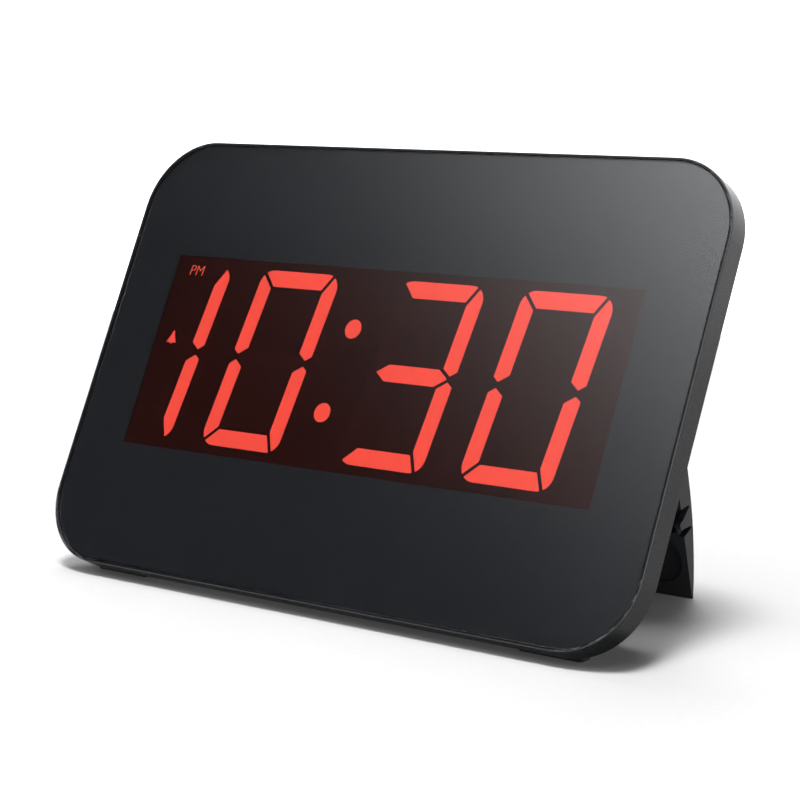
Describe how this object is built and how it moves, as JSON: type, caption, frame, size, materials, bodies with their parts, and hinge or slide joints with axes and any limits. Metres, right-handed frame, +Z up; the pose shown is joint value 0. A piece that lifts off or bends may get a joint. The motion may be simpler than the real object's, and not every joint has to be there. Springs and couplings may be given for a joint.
{
  "type": "digital alarm clock",
  "caption": "Slim digital alarm clock with large red segment digits behind a smoked front panel, leaning back on a wide fold-out stand.",
  "frame": {"origin": "middle of the clock's outline seen from above, on the surface that it stands on", "axes": "+X to the right of someone who reads the clock, +Y from its face towards its back, +Z up"},
  "size_m": [0.218, 0.089, 0.1324],
  "materials": {
    "frame_plastic": "fine matt grain",
    "smoked_sheet": "high gloss",
    "mask_print": "printed film",
    "tape_foam": "foam tape",
    "red_filter": "dyed film",
    "reflector_plastic": "matt",
    "lit_diffuser": "lit, diffusing",
    "unlit_diffuser": "diffusing",
    "circuit_board": "solder mask",
    "led_chip": "moulded",
    "zinc_steel": "zinc plated",
    "black_plastic": "moulded",
    "nickel_steel": "nickel plated",
    "spring_brass": "nickel washed",
    "plunger_plastic": "moulded",
    "cover_plastic": "spark-eroded grain",
    "button_plastic": "smooth",
    "foot_rubber": "matt"
  },
  "bodies": {
    "case": {"bezel_frame": "frame_plastic", "front_panel": "smoked_sheet", "panel_mask": "mask_print", "panel_tape": "tape_foam", "window_filter": "red_filter", "display_reflector": "reflector_plastic", "unlit_segments": "unlit_diffuser", "colon_dots": "lit_diffuser", "indicator_lights": "lit_diffuser", "hour_tens_segments": "lit_diffuser", "hour_units_segments": "lit_diffuser", "minute_tens_segments": "lit_diffuser", "minute_units_segments": "lit_diffuser", "display_board": "circuit_board", "segment_leds": "led_chip", "display_screws": "zinc_steel", "control_board": "circuit_board", "board_header": "black_plastic", "clock_chip": "black_plastic", "quartz_crystal": "nickel_steel", "buzzer": "black_plastic", "power_inlet": "nickel_steel", "coin_cell": "nickel_steel", "cell_holder": "black_plastic", "cell_clip": "spring_brass", "key_switches": "black_plastic", "control_screws": "zinc_steel", "rear_cover": "cover_plastic", "case_screws": "zinc_steel", "rubber_feet": "foot_rubber", "hinge_pin": "zinc_steel"},
    "stand": {"stand": "cover_plastic"},
    "battery_door": {"battery_door": "cover_plastic"},
    "mode_key": {"mode_button": "button_plastic", "mode_plunger": "plunger_plastic"},
    "alarm_key": {"alarm_button": "button_plastic", "alarm_plunger": "plunger_plastic"},
    "up_key": {"up_button": "button_plastic", "up_plunger": "plunger_plastic"},
    "down_key": {"down_button": "button_plastic", "down_plunger": "plunger_plastic"},
    "dimmer_key": {"dimmer_button": "button_plastic", "dimmer_plunger": "plunger_plastic"}
  },
  "joints": [
    {"name": "stand_hinge", "type": "hinge", "parent": "case", "child": "stand", "pos_m": [0, 0.02438, 0.08449], "axis": [1, 0, 0], "range_deg": [-40.9, 0]},
    {"name": "door_slide", "type": "slide", "parent": "case", "child": "battery_door", "axis": [1, 0, 0], "range_m": [0, 0.0438]},
    {"name": "mode_press", "type": "slide", "parent": "case", "child": "mode_key", "axis": [0, -0.8999, 0.4362], "range_m": [0, 0.0006], "stiffness_N_per_m": 400},
    {"name": "alarm_press", "type": "slide", "parent": "case", "child": "alarm_key", "axis": [0, -0.8999, 0.4362], "range_m": [0, 0.0006], "stiffness_N_per_m": 400},
    {"name": "up_press", "type": "slide", "parent": "case", "child": "up_key", "axis": [0, -0.8999, 0.4362], "range_m": [0, 0.0006], "stiffness_N_per_m": 400},
    {"name": "down_press", "type": "slide", "parent": "case", "child": "down_key", "axis": [0, -0.8999, 0.4362], "range_m": [0, 0.0006], "stiffness_N_per_m": 400},
    {"name": "dimmer_press", "type": "slide", "parent": "case", "child": "dimmer_key", "axis": [0, -0.8999, 0.4362], "range_m": [0, 0.0006], "stiffness_N_per_m": 400}
  ]
}
